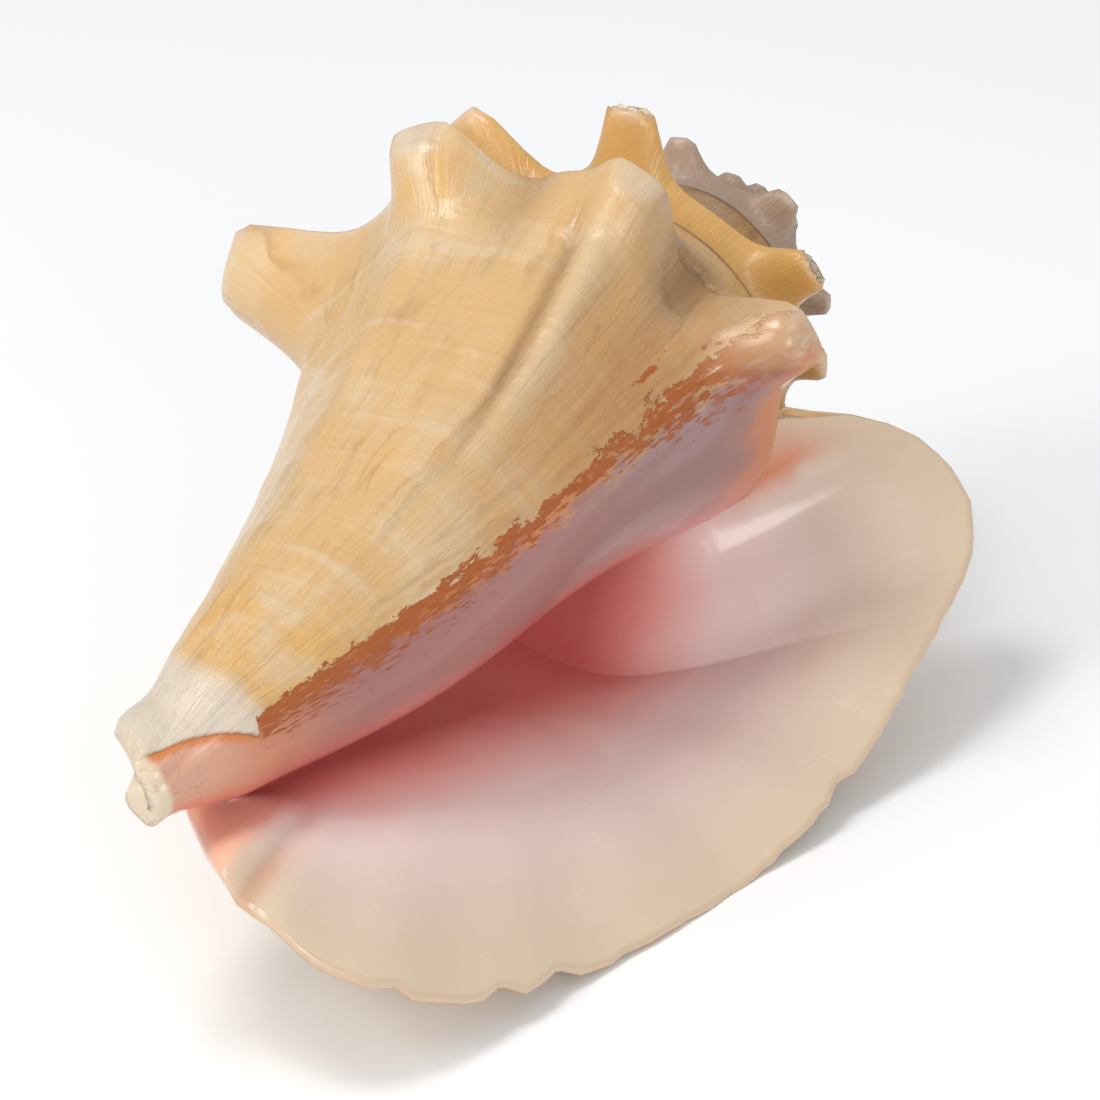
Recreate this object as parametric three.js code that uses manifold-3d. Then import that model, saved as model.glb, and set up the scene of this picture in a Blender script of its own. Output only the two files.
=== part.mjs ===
// A queen conch shell, 22 cm from its apex to the end of its canal, lying on its back.
// It grew as one piece, so it is one solid. All sizes are in millimetres.
//
// The shell's own frame: +X towards the lip, +Y out of its back, +Z towards the apex, and its
// origin on the axis, SHOULDER_DROP above the last shoulder. A growth angle turns from the lip
// side (0) round by the mouth side (90), and each whole turn back from the growing edge shrinks
// the shell by WHORL_GROWTH.

import * as THREE from "three";
import Module from "manifold-3d";

const wasm = await Module();
wasm.setup();

// ---------------------------------------------------------------- driving dimensions

const WHORL_GROWTH = 1.45;        // size ratio of one whorl to the one before it
const EDGE_ANGLE = -58;           // growth angle where the lip leaves the last whorl
const SHOULDER_RADIUS = 54;       // axis to shoulder, last whorl
const SHOULDER_DROP = 82;         // origin to shoulder along the axis, last whorl
const PILLAR_RADIUS = 9;          // the canal end round the axis
const END_TAPER = 4.5;            // how much thinner it is at its broken end
const END_BULGE = 6.5;            // how far the canal swells on its outer side near that end
const BULGE_TURNS = 0.38;          // where that swelling is round the axis, and down the side
const BULGE_FALL = 0.985;
const LENGTH = 211;               // origin to canal end
const CANAL_GAP = 12;             // how far the back wall lifts off the pillar at the canal
const CANAL_STEP = 20;            // how much sooner the lip side of the wall stops there
const RAMP_SHARE = 0.25;          // share of the profile above the shoulder
const RAMP_SAG = 3;               // hollow of the sloping ramp above the shoulder
const SUTURE_DROP = 12;           // how far below a full-size shoulder the next whorl takes hold
const SPIRE_RISE = 11;            // how much further the oldest whorls stand out
const WORN_DEPTH = 6.5;           // how far the side is worn hollow beside the mouth
const WORN_FALL = 0.27;           // where that hollow is deepest down the side, and how far it runs
const CORE_RADIUS = 2.8;          // the pillar's solid core
const CORE_SIDES = 12;
const CORE_PROUD = 1;             // how far it stands out of the broken end
const WALL = 5;                   // thickness of the last whorl's wall
const LIP_THICKNESS = 4;          // thickness of the flared lip at its rim
const MOUTH_DEPTH = 0.85;         // turns that the hollow reaches back from the lip
const PILLAR_TAPER = 1.4;         // how much thinner the hidden pillar is inside
const SIMPLE_WITHIN = 0.06;       // how far a merged triangle may stray from the form
const WELD = 0.02;                // corners closer than this are one
const PARTED_BY = 0.1;            // how far touching surfaces are drawn apart
const WORN_FLAT = 0.5;            // depth worn off where the shell touches what it lies on

// Two spines of the whorl before the last have lost their tips and show the tube inside.
const OPEN_SPINES = [-605, -668];
const TUBE_RADIUS = 2.4;
const TUBE_DEPTH = 7;

// The canal end bows away from the mouth and towards the lip.
const BOW_START = 60;
const BOW = new THREE.Vector2(5.5, 2.3);
const HOOK = 4.5;                 // how far its very end turns towards the lip

// Spines on the last whorl and the one before: growth angle, height, half width, and degrees
// that the spine leans towards the apex. Heights and widths are those of a full-size whorl and
// shrink with the whorl that carries them. The two that go inwards are the hollows on both sides
// of the last spine but one.
const SPINES = [
  [-68, 10, 9, 8], [-110, 34, 9, 4], [-168, 29, 9.5, -9], [-216, 15, 9.6, -8],
  [-234, -4, 8, 0], [-265, 11, 8.2, -8], [-289, -9, 9.5, 0], [-311, 20, 8.5, -11],
  [-430, 22, 7.5, 8], [-474, 24, 7.5, 8], [-518, 30, 7.5, 8], [-561, 34, 7.5, 6],
  [-605, 27, 7.8, 6], [-668, 25, 7.5, -10], [-702, 15, 8, -10], [-745, 15, 8, 0],
];
const SPIRE_SPINE_STEP = 53;
const SPIRE_SPINE_HEIGHT = 17;
const SPIRE_SPINES = 27;
const SPIRE_SPINE_SHRINK = 0.6;   // how much lower they are from the third whorl up
const OLDEST_LISTED = SPINES.at(-1)[0];
for (let i = 1; i <= SPIRE_SPINES; i += 1) {
  const height = SPIRE_SPINE_HEIGHT * (1 - SPIRE_SPINE_SHRINK * THREE.MathUtils.smoothstep(i, 6, 9));
  SPINES.push([OLDEST_LISTED - SPIRE_SPINE_STEP * i, height, 8, 8]);
}
const SPINE_REACH_UP = 6;         // how far a spine's foot runs up the ramp
const SPINE_REACH_DOWN = 13;      // and down the body
const SPINE_BLUNTNESS = 1.25;     // how wide its blunt tip is, and how steep its sides are
const SPINE_STEEPNESS = 3.4;
const RIDGE_HEIGHT = 0.3;         // the rib below a spine, as a share of its height
const RIDGE_LENGTH = 34;

// The free edge of the lip, from the shoulder down to the canal: X, Y, Z of its middle.
const LIP_EDGE = new THREE.CatmullRomCurve3([
  [34, -10, -53], [54, -1, -29], [72, 5, -36], [79, 13, -62], [83, 22, -90], [82, 26, -120],
  [76, 27, -148], [69, 23, -175], [58, 15, -198], [42, 9, -210], [22, 8, -208], [5, 18, -191],
].map(([x, y, z]) => new THREE.Vector3(x, y, z)), false, "catmullrom", 0.5);
const RIM_CHIPS = [[0.37, 1.6], [0.615, 2.6], [0.66, 2], [0.75, 1.4]];  // place along it, radius
const LIP_START_PULL = 0.9;       // how strongly the lip follows the last whorl, then its edge
const LIP_END_PULL = 0.8;
const LIP_END_RISE = 0.35;

// How it lies, in the shell's own frame: roughly which way is up, and the way it is looked at.
const LAID_UP = new THREE.Vector3(-0.4, -0.91, 0.12).normalize();
const UP = new THREE.Vector3(0, 0, 1);
const SEEN_ALONG = new THREE.Vector3(-0.24, 0.66, 0.71).normalize();

// ---------------------------------------------------------------- the shell's form

const { degToRad, smoothstep, clamp, lerp } = THREE.MathUtils;

const sizeAt = (turns) => WHORL_GROWTH ** -turns;
const angleAt = (turns) => EDGE_ANGLE - 360 * turns;
const turnsAt = (angle) => (EDGE_ANGLE - angle) / 360;
const shoulderHeight = (turns) => (
  SPIRE_RISE * smoothstep(turns, 1.1, 2.3) - SHOULDER_DROP * sizeAt(turns)
);

// 1 at the middle, falling smoothly to nothing on both sides.
const bell = (value, middle, halfWidth) => Math.exp(-(((value - middle) / halfWidth) ** 2));

// Radius and height of the whorl below its shoulder, for fall from 0 (shoulder) to 1 (canal).
function sidePoint(turns, fall, inset = 0) {
  const size = sizeAt(turns);
  const shoulder = SHOULDER_RADIUS * size - inset;
  const top = shoulderHeight(turns) - 0.9 * inset;
  const bulge = bell(turns, BULGE_TURNS, 0.17) * bell(fall, BULGE_FALL, 0.055);
  const pillar = PILLAR_RADIUS - 0.6 * inset + END_BULGE * bulge
    - PILLAR_TAPER * smoothstep(turns, 0.95, 1.1) - END_TAPER * smoothstep(fall, 0.86, 1);
  const open = CANAL_GAP * (1 - smoothstep(turns, 0, 0.42)) * fall ** 3;
  const curve = (1 - fall) ** 1.28 + 0.1 * Math.sin(Math.PI * fall);
  const besideMouth = smoothstep(turns, 0.62, 0.85) * (1 - smoothstep(turns, 1.05, 1.35));
  const worn = WORN_DEPTH * besideMouth * bell(fall, WORN_FALL, WORN_FALL);
  const end = -LENGTH + CANAL_STEP * (1 - smoothstep(turns, 0.1, 0.55));
  const radius = pillar + open + (shoulder - pillar) * curve - worn;
  return new THREE.Vector2(radius, lerp(top, end, fall));
}

// How far the spines push the surface out and up, for a place on the profile.
function spinePush(turns, place, rampLength, sideLength) {
  const angle = angleAt(turns);
  const below = place > RAMP_SHARE;
  const coveredByNext = smoothstep(turns, 0.85, 1);
  const reachDown = lerp(SPINE_REACH_DOWN, SPINE_REACH_UP, coveredByNext);
  const along = below
    ? (place - RAMP_SHARE) / (1 - RAMP_SHARE) * sideLength
    : (1 - place / RAMP_SHARE) * rampLength;
  const push = new THREE.Vector2();
  for (const [spineAngle, height, halfWidth, lean] of SPINES) {
    const size = sizeAt(turnsAt(spineAngle));
    const across = Math.abs(degToRad(angle - spineAngle)) * SHOULDER_RADIUS / halfWidth;
    const down = along / ((below ? reachDown : SPINE_REACH_UP) * size);
    const cone = Math.min(1, SPINE_BLUNTNESS / (1 + Math.hypot(across, down) ** SPINE_STEEPNESS));
    const fade = Math.exp(-(across ** 2) - along / (RIDGE_LENGTH * size));
    const ridge = below ? RIDGE_HEIGHT * (1 - coveredByNext) * fade : 0;
    const reach = height * size * Math.max(cone, ridge);
    push.x += reach * Math.cos(degToRad(lean));
    push.y += reach * Math.sin(degToRad(lean));
  }
  return push;
}

// Radius and height of the whorl's whole profile, for place from 0 (suture) to 1 (canal).
function profilePoint(turns, place, inset = 0) {
  const sutureFall = SUTURE_DROP * sizeAt(turns + 1) / (LENGTH + shoulderHeight(turns + 1));
  const suture = sidePoint(turns + 1, sutureFall).sub(new THREE.Vector2(0.5 * inset, inset));
  const shoulder = sidePoint(turns, 0, inset);
  let point;
  if (place < RAMP_SHARE) {
    const down = place / RAMP_SHARE;
    point = suture.clone().lerp(shoulder, down);
    point.y -= RAMP_SAG * sizeAt(turns) * Math.sin(Math.PI * down);
  } else {
    point = sidePoint(turns, (place - RAMP_SHARE) / (1 - RAMP_SHARE), inset);
  }
  // A spine is solid, but where the outer face sinks, the inner one sinks with it.
  const push = spinePush(turns, place, suture.distanceTo(shoulder), LENGTH + shoulder.y);
  return inset === 0 || push.x < 0 ? point.add(push) : point;
}

// A point of a profile, turned to its growth angle and bowed near the canal.
function turnedPoint(turns, point) {
  const angle = degToRad(angleAt(turns));
  const bow = Math.max(0, (-point.y - BOW_START) / (LENGTH - BOW_START));
  return new THREE.Vector3(
    point.x * Math.cos(angle) + BOW.x * Math.sin(Math.PI * bow) + HOOK * bow ** 10,
    -point.x * Math.sin(angle) + BOW.y * bow ** 4,
    point.y,
  );
}

const surfacePoint = (turns, place, inset) => turnedPoint(turns, profilePoint(turns, place, inset));

// A point of one face of the lip, for out from 0 (the last whorl) to 1 (the rim).
function lipPoint(out, place, inset) {
  const start = surfacePoint(0, place, inset);
  const growth = start.clone().sub(surfacePoint(0.01, place, inset)).normalize();
  const edge = LIP_EDGE.getPoint(place);
  const reach = edge.distanceTo(start);
  const arrival = edge.clone().sub(start).divideScalar(reach);
  arrival.y += LIP_END_RISE;
  const backward = new THREE.Vector3(0, 1, 0)
    .projectOnPlane(arrival.clone().normalize())
    .normalize();
  const side = inset === 0 ? 0.5 : -0.5;
  edge.addScaledVector(backward, side * LIP_THICKNESS);
  const ease = out * out * (3 - 2 * out);
  return new THREE.Vector3()
    .addScaledVector(start, 1 - ease)
    .addScaledVector(edge, ease)
    .addScaledVector(growth, LIP_START_PULL * reach * out * (1 - out) ** 2)
    .addScaledVector(arrival, -LIP_END_PULL * reach * out * out * (1 - out));
}

// The middle of the rounded rim, half a thickness past the lip's edge.
function rimPoint(place) {
  const before = lipPoint(0.97, place, 0).add(lipPoint(0.97, place, WALL)).multiplyScalar(0.5);
  const edge = lipPoint(1, place, 0).add(lipPoint(1, place, WALL)).multiplyScalar(0.5);
  const outward = edge.clone().sub(before).normalize();
  return edge.addScaledVector(outward, LIP_THICKNESS / 2);
}

// ---------------------------------------------------------------- sampling

// Turns from one end to the other, evenly filled, with extra ones across each spine.
function turnSteps(from, to, degreesApart, acrossSpine) {
  const steps = [from, to];
  for (const [angle, , halfWidth] of SPINES) {
    for (const part of acrossSpine) {
      const turns = turnsAt(angle) + part * halfWidth / SHOULDER_RADIUS / (2 * Math.PI);
      if (turns > from + 0.004 && turns < to - 0.004) {
        steps.push(turns);
      }
    }
  }
  steps.sort((a, b) => a - b);
  const filled = [];
  for (let i = 0; i + 1 < steps.length; i += 1) {
    const pieces = Math.max(1, Math.round((steps[i + 1] - steps[i]) * 360 / degreesApart));
    for (let j = 0; j < pieces; j += 1) {
      filled.push(lerp(steps[i], steps[i + 1], j / pieces));
    }
  }
  return [...filled, to];
}

const RAMP_PLACES = [0, 0.2, 0.4, 0.6, 0.82, 1].map((down) => RAMP_SHARE * down);
const SIDE_PLACES = [0.04, 0.08, 0.13, 0.2, 0.29, 0.4, 0.52, 0.64, 0.76, 0.86, 0.93, 1]
  .map((fall) => lerp(RAMP_SHARE, 1, fall));
const PLACES = [...RAMP_PLACES, ...SIDE_PLACES];
const SPIRE_PLACES = PLACES.slice(0, 9);

// A solid from its points and triangles.
function solidFrom(points, triangles) {
  const vertProperties = new Float32Array(points.flatMap((p) => [p.x, p.y, p.z]));
  const triVerts = new Uint32Array(triangles.flat());
  return new wasm.Manifold(new wasm.Mesh({ numProp: 3, vertProperties, triVerts }));
}

// Two triangles for the square between two rows of points.
function square(a, b, c, d) {
  return [[a, b, c], [a, c, d]];
}

// The same solid with corners closer than WELD made one, and the slivers between them dropped.
function welded(body) {
  const { vertProperties: at, triVerts: corners } = body.getMesh();
  const places = new Map();
  const points = [];
  const index = Array.from({ length: at.length / 3 }, (_, i) => {
    const point = new THREE.Vector3().fromArray(at, 3 * i).divideScalar(WELD).round();
    const key = point.toArray().join();
    if (!places.has(key)) {
      places.set(key, points.length);
      points.push(point.multiplyScalar(WELD));
    }
    return places.get(key);
  });
  const triangles = new Map();
  for (let i = 0; i < corners.length; i += 3) {
    const face = [index[corners[i]], index[corners[i + 1]], index[corners[i + 2]]];
    const key = face.toSorted((a, b) => a - b).join();
    if (new Set(face).size === 3) {
      // Two faces on the same corners are the two sides of a sliver, and both go.
      if (triangles.has(key)) {
        triangles.delete(key);
      } else {
        triangles.set(key, face);
      }
    }
  }
  return solidFrom(...parted(points, [...triangles.values()]));
}

// Where four faces share one edge, two stretches of the surface only touch. The middle of that
// edge is drawn a little way into the material on one of them, so that they part.
function parted(points, triangles) {
  for (;;) {
    const sides = new Map();
    for (const face of triangles) {
      for (const [a, b] of [[face[0], face[1]], [face[1], face[2]], [face[2], face[0]]]) {
        const key = `${a} ${b}`;
        sides.set(key, [...(sides.get(key) ?? []), face]);
      }
    }
    const touching = [...sides].find(([, faces]) => faces.length > 1);
    if (!touching) {
      return [points, triangles];
    }
    const [a, b] = touching[0].split(" ").map(Number);
    const normalOf = (face) => new THREE.Triangle(...face.map((corner) => points[corner]))
      .getNormal(new THREE.Vector3());
    const one = touching[1][0];
    const others = sides.get(`${b} ${a}`);
    const closeness = (face) => normalOf(face).dot(normalOf(one));
    const other = others.toSorted((f, g) => closeness(g) - closeness(f))[0];
    const inward = normalOf(one).add(normalOf(other)).normalize();
    const middle = points[a].clone().add(points[b]).multiplyScalar(0.5);
    points.push(middle.addScaledVector(inward, -PARTED_BY));
    const split = (face, from, to) => {
      const tip = face.find((corner) => corner !== from && corner !== to);
      return [[from, points.length - 1, tip], [points.length - 1, to, tip]];
    };
    triangles = triangles.filter((face) => face !== one && face !== other);
    triangles.push(...split(one, a, b), ...split(other, b, a));
  }
}

// ---------------------------------------------------------------- sub-forms

// A filled stretch of the coil, from its surface in to the axis. All its profiles end in one
// point on the axis, at their lowest.
function coilStretch(from, to, places) {
  const steps = turnSteps(from, to, 12, [-1, -0.4, 0, 0.4, 1]);
  const outlines = steps.map((turns) => {
    const profile = places.map((place) => profilePoint(turns, place));
    return [new THREE.Vector2(0, profile[0].y), ...profile];
  });
  const bottom = new THREE.Vector2(0, Math.min(...outlines.map((outline) => outline.at(-1).y)));
  const row = places.length + 1;
  const points = outlines.flatMap((outline, i) => (
    outline.map((point) => turnedPoint(steps[i], point))
  ));
  points.push(turnedPoint(from, bottom));
  const bottomIndex = points.length - 1;
  const triangles = [];
  for (let i = 0; i + 1 < steps.length; i += 1) {
    const [here, next] = [i * row, (i + 1) * row];
    for (let j = 0; j + 1 < row; j += 1) {
      triangles.push(...square(here + j, here + j + 1, next + j + 1, next + j));
    }
    triangles.push([here + row - 1, bottomIndex, next + row - 1], [here, next, bottomIndex]);
  }
  for (const i of [0, steps.length - 1]) {
    for (const face of THREE.ShapeUtils.triangulateShape([...outlines[i], bottom], [])) {
      const [a, b, c] = face.map((corner) => (corner === row ? bottomIndex : i * row + corner));
      triangles.push(i === 0 ? [a, b, c] : [a, c, b]);
    }
  }
  return solidFrom(points, triangles);
}

// The hollow last whorl and its lip: one sheet with an outer and an inner face and a round rim.
function lastWhorlAndLip() {
  const whorl = turnSteps(0, MOUTH_DEPTH, 12, [-1.2, -0.6, -0.25, 0.25, 0.6, 1.2]).reverse();
  const flare = [0.1, 0.22, 0.35, 0.5, 0.65, 0.8, 0.92, 1];
  const points = [];
  for (const place of PLACES) {
    const face = (inset) => [
      ...whorl.map((turns) => surfacePoint(turns, place, inset)),
      ...flare.map((out) => lipPoint(out, place, inset)),
    ];
    points.push(...face(0), rimPoint(place), ...face(WALL).reverse());
  }
  const side = whorl.length + flare.length;
  const loop = 2 * side + 1;
  const triangles = [];
  for (let i = 0; i + 1 < PLACES.length; i += 1) {
    for (let j = 0; j < loop; j += 1) {
      const k = (j + 1) % loop;
      triangles.push(...square(i * loop + j, i * loop + k, (i + 1) * loop + k, (i + 1) * loop + j));
    }
  }
  const last = (PLACES.length - 1) * loop;
  for (let j = 0; j + 1 < side; j += 1) {
    const across = loop - 1 - j;
    triangles.push(...square(j, across, across - 1, j + 1));
    triangles.push(...square(last + j, last + j + 1, last + across - 1, last + across));
  }
  triangles.push([side - 1, side + 1, side], [last + side - 1, last + side, last + side + 1]);
  return solidFrom(points, triangles);
}

// The solid core of the pillar, which stands a little proud of the canal's broken end.
function pillarCore() {
  const rings = [BOW_START, 90, 120, 150, 180, 200, LENGTH + CORE_PROUD];
  const points = [];
  for (const depth of rings) {
    for (let i = 0; i < CORE_SIDES; i += 1) {
      points.push(turnedPoint(i / CORE_SIDES, new THREE.Vector2(CORE_RADIUS, -depth)));
    }
  }
  const triangles = [];
  for (let i = 0; i + 1 < rings.length; i += 1) {
    for (let j = 0; j < CORE_SIDES; j += 1) {
      const k = (j + 1) % CORE_SIDES;
      const [here, next] = [i * CORE_SIDES, (i + 1) * CORE_SIDES];
      triangles.push(...square(here + j, here + k, next + k, next + j));
    }
  }
  const last = (rings.length - 1) * CORE_SIDES;
  for (let j = 1; j + 1 < CORE_SIDES; j += 1) {
    triangles.push([0, j + 1, j], [last, last + j, last + j + 1]);
  }
  return solidFrom(points, triangles);
}

// The tapering tube left in the broken tip of a spine.
function spineTube(angle) {
  const turns = turnsAt(angle);
  const tip = surfacePoint(turns, RAMP_SHARE);
  const foot = surfacePoint(turns, RAMP_SHARE, 0.001);
  const along = tip.clone().sub(foot).normalize();
  const start = tip.clone().addScaledVector(along, -TUBE_DEPTH);
  const turn = new THREE.Matrix4()
    .makeRotationFromQuaternion(new THREE.Quaternion().setFromUnitVectors(UP, along))
    .setPosition(start);
  return wasm.Manifold.cylinder(1.3 * TUBE_DEPTH, 0.3 * TUBE_RADIUS, 1.2 * TUBE_RADIUS, 10)
    .transform(turn.toArray());
}

// A bite out of the lip's rim.
function rimChip([place, radius]) {
  const middle = rimPoint(place);
  return wasm.Manifold.sphere(radius, 10).translate([middle.x, middle.y, middle.z]);
}

// ---------------------------------------------------------------- the whole shell

function shellSolid() {
  const stretches = [
    coilStretch(MOUTH_DEPTH, MOUTH_DEPTH + 0.5, PLACES),
    coilStretch(MOUTH_DEPTH + 0.5, MOUTH_DEPTH + 1, PLACES),
  ];
  for (let turns = MOUTH_DEPTH + 1; turns < 5.5; turns += 0.5) {
    stretches.push(coilStretch(turns, turns + 0.5, SPIRE_PLACES));
  }
  stretches.push(lastWhorlAndLip(), pillarCore());
  const damage = [...OPEN_SPINES.map(spineTube), ...RIM_CHIPS.map(rimChip)];
  const whole = wasm.Manifold.union(stretches).subtract(wasm.Manifold.union(damage));
  const bodies = whole.asOriginal().simplify(SIMPLE_WITHIN).decompose();
  return bodies.sort((a, b) => b.volume() - a.volume())[0];
}

// Volume-weighted middle of a solid.
function centreOfMass(body) {
  const { vertProperties: at, triVerts: corners } = body.getMesh();
  const centre = new THREE.Vector3();
  let total = 0;
  for (let i = 0; i < corners.length; i += 3) {
    const [a, b, c] = [0, 1, 2].map((k) => new THREE.Vector3().fromArray(at, 3 * corners[i + k]));
    const volume = a.dot(b.clone().cross(c)) / 6;
    total += volume;
    centre.addScaledVector(a.add(b).add(c), volume / 4);
  }
  return centre.divideScalar(total);
}

// Which way is up when the shell has settled: of the faces of its hull that its weight stays
// over, the one nearest to the way it is laid down.
function settledUp(body, laidUp) {
  const centre = centreOfMass(body);
  const { vertProperties: at, triVerts: corners } = body.hull().getMesh();
  let best = laidUp;
  let nearest = -1;
  for (let i = 0; i < corners.length; i += 3) {
    const face = new THREE.Triangle(
      ...[0, 1, 2].map((k) => new THREE.Vector3().fromArray(at, 3 * corners[i + k])),
    );
    const up = face.getNormal(new THREE.Vector3()).negate();
    const below = centre.clone().addScaledVector(up, -centre.clone().sub(face.a).dot(up));
    if (face.containsPoint(below) && up.dot(laidUp) > nearest) {
      best = up;
      nearest = up.dot(laidUp);
    }
  }
  return best;
}

// The shell turned as it rests, with its front along -Y and its worn contact points at Z 0.
function laidDown(body) {
  const up = settledUp(body, LAID_UP);
  const back = SEEN_ALONG.clone().projectOnPlane(up).normalize();
  const right = back.clone().cross(up);
  const turn = new THREE.Matrix4().makeBasis(right, back, up).transpose();
  const turned = body.transform(turn.toArray());
  const lowest = turned.boundingBox().min[2];
  const worn = turned
    .trimByPlane([0, 0, 1], lowest + WORN_FLAT)
    .asOriginal()
    .simplify(SIMPLE_WITHIN);
  const box = worn.boundingBox();
  return worn.translate([
    -(box.min[0] + box.max[0]) / 2, -(box.min[1] + box.max[1]) / 2, -box.min[2],
  ]);
}

const grown = shellSolid();
const solid = welded(laidDown(grown));

function geometryOf(body) {
  const mesh = body.getMesh();
  const geometry = new THREE.BufferGeometry();
  geometry.setAttribute("position", new THREE.BufferAttribute(mesh.vertProperties, 3));
  geometry.setIndex(new THREE.BufferAttribute(mesh.triVerts, 1));
  geometry.computeVertexNormals();
  return geometry;
}

const material = new THREE.MeshStandardMaterial({ color: 0xdfc7a0, roughness: 0.45, metalness: 0 });
const shell = new THREE.Mesh(geometryOf(solid), material);
shell.name = "shell";
const group = new THREE.Group();
group.add(shell);

export default group;
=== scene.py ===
"""The looks of a queen conch shell that lies on its back, 22 cm from its apex to its canal."""

import math

import bpy
from mathutils import Matrix, Vector


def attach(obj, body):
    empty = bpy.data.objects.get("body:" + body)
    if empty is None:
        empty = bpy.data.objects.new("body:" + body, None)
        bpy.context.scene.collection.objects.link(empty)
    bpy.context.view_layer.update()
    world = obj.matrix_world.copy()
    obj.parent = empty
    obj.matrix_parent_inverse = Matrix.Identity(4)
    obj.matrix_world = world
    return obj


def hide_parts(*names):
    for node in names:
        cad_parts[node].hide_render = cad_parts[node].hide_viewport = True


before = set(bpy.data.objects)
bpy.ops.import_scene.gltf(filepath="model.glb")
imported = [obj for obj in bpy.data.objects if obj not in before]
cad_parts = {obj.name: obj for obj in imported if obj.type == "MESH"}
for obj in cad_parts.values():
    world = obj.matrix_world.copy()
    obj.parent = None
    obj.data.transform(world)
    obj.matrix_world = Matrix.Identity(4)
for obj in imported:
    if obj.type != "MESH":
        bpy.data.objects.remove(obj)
bpy.context.view_layer.update()
scene = bpy.context.scene

# ------------------------------------------------------------------------------- camera
# It looks down on the mouth from the front, from about a metre away, with a long lens and
# turned a little clockwise, so that the canal is low on the left and the spire high on the right.
CAMERA_AT = Vector((0.0018, -0.8748, 0.4934))
LOOKED_AT = Vector((-0.0025, 0.0172, 0.0415))
CAMERA_ROLL = math.radians(-3.1)

camera = bpy.data.objects.new("camera", bpy.data.cameras.new("camera"))
camera.data.lens = 178.4
camera.data.sensor_width = 36
camera.data.clip_end = 20
camera.location = CAMERA_AT
camera.rotation_mode = "QUATERNION"
aim = (LOOKED_AT - CAMERA_AT).to_track_quat("-Z", "Y").to_matrix()
camera.rotation_quaternion = (aim @ Matrix.Rotation(CAMERA_ROLL, 3, "Z")).to_quaternion()
scene.collection.objects.link(camera)
scene.camera = camera
scene.view_settings.view_transform = "Standard"

# ------------------------------------------------------------------------- the shell's form
# A conch grows by adding to the edge of its mouth, so every whorl is the one before it turned
# and made larger. It is one piece: the coil with its spines, the hollow last whorl, and the
# flared lip. The tree below works in millimetres, in the shell's own frame: X towards the lip,
# Y out of its back, Z along the axis towards the apex.
SIZES = {
    "Whorl growth": 1.45,      # size of one whorl against the one before it
    "Shoulder radius": 54.0,   # axis to shoulder, last whorl
    "Shoulder drop": 82.0,
    "Length": 211.0,           # from where the axis begins to the end of the canal
    "Pillar radius": 9.0,      # the canal end round the axis
    "Wall": 5.0,
    "Lip thickness": 2.2,
}
EDGE_ANGLE = -58.0             # where the lip leaves the last whorl, in degrees round the axis
MOUTH_DEPTH = 0.85             # turns that the hollow reaches back
INNER_TURNS = 1.85             # turns back that the canal's whole side is built
APEX_TURNS = 7.5
APEX_CLOSES = 6.5              # turns back from which the ramp reaches in to the axis
RAMP_SHARE = 0.25              # share of a profile that lies above its shoulder
RAMP_SAG = 3.0                 # hollow of the sloping ramp above the shoulder
SUTURE_DROP = 12.0             # how far below a whorl's shoulder the next one takes hold
SPIRE_RISE = 11.0              # how much further up the axis the older whorls sit
CANAL_GAP = 12.0               # how far the newest side stands off the pillar at the canal
CANAL_STEP = 20.0              # how much sooner the newest side stops
PILLAR_TAPER = 1.4             # how much thinner the pillar is more than a turn back
END_TAPER = 4.5                # how much thinner it is at the canal's end
END_BULGE = 6.5                # how far the canal swells near that end
BULGE_TURNS = 0.38             # where that swelling is round the axis, and down the side
BULGE_FALL = 0.985
WORN_DEPTH = 6.5               # how far the side is worn hollow beside the mouth
WORN_FALL = 0.27               # where that hollow is deepest, and how far it runs
BOW_START = 60.0               # how far below the frame's start the shell begins to bow
BOW_TO_LIP = 5.5               # how far it bows towards the lip, half way down
BOW_OUT = 2.3                  # and out of its back, and towards the lip, at the canal's end
HOOK = 4.5

# Growth angle, height, half width, degrees that a spine leans towards the apex, the rib below it
# as a share of its height, and 1 where it has lost its tip and shows the tube inside. The two
# that go inwards are the hollows on both sides of the fifth spine back from the lip.
SPINES = [
    (-68, 10, 9, 8, 0.3, 0), (-110, 34, 9, 4, 0.26, 0), (-168, 29, 9.5, -9, 0.3, 0),
    (-216, 15, 9.6, -8, 0.45, 0), (-234, -4, 8, 0, 0.5, 0), (-265, 11, 8.2, -8, 0.5, 0),
    (-289, -9, 9.5, 0, 0.4, 0), (-311, 20, 8.5, -11, 0.3, 0), (-430, 22, 7.5, 8, 0.3, 0),
    (-474, 24, 7.5, 8, 0.3, 0), (-518, 30, 7.5, 8, 0.3, 0), (-561, 34, 7.5, 6, 0.3, 0),
    (-605, 27, 7.8, 6, 0.3, 1), (-668, 25, 7.5, -10, 0.3, 1), (-702, 15, 8, -10, 0.3, 0),
    (-745, 15, 8, 0, 0.3, 0),
]
SPIRE_SPINE_STEP = 53          # degrees between the spines of the older whorls
SPIRE_SPINE_HEIGHT = 17
SPIRE_SPINE_SHRINK = 0.6       # share by which the oldest of them are lower
SPINE_REACH_UP = 6.0           # how far a spine's foot runs up the ramp
SPINE_REACH_DOWN = 13.0        # and down the body
SPINE_BLUNTNESS = 1.25         # how wide its blunt tip is, and how steep its sides are
SPINE_STEEPNESS = 3.4
RIB_LENGTH = 42.0              # how far the rib below a spine takes to fade
TUBE_DEPTH = 6.0               # the hollow in a spine that has lost its tip

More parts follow.
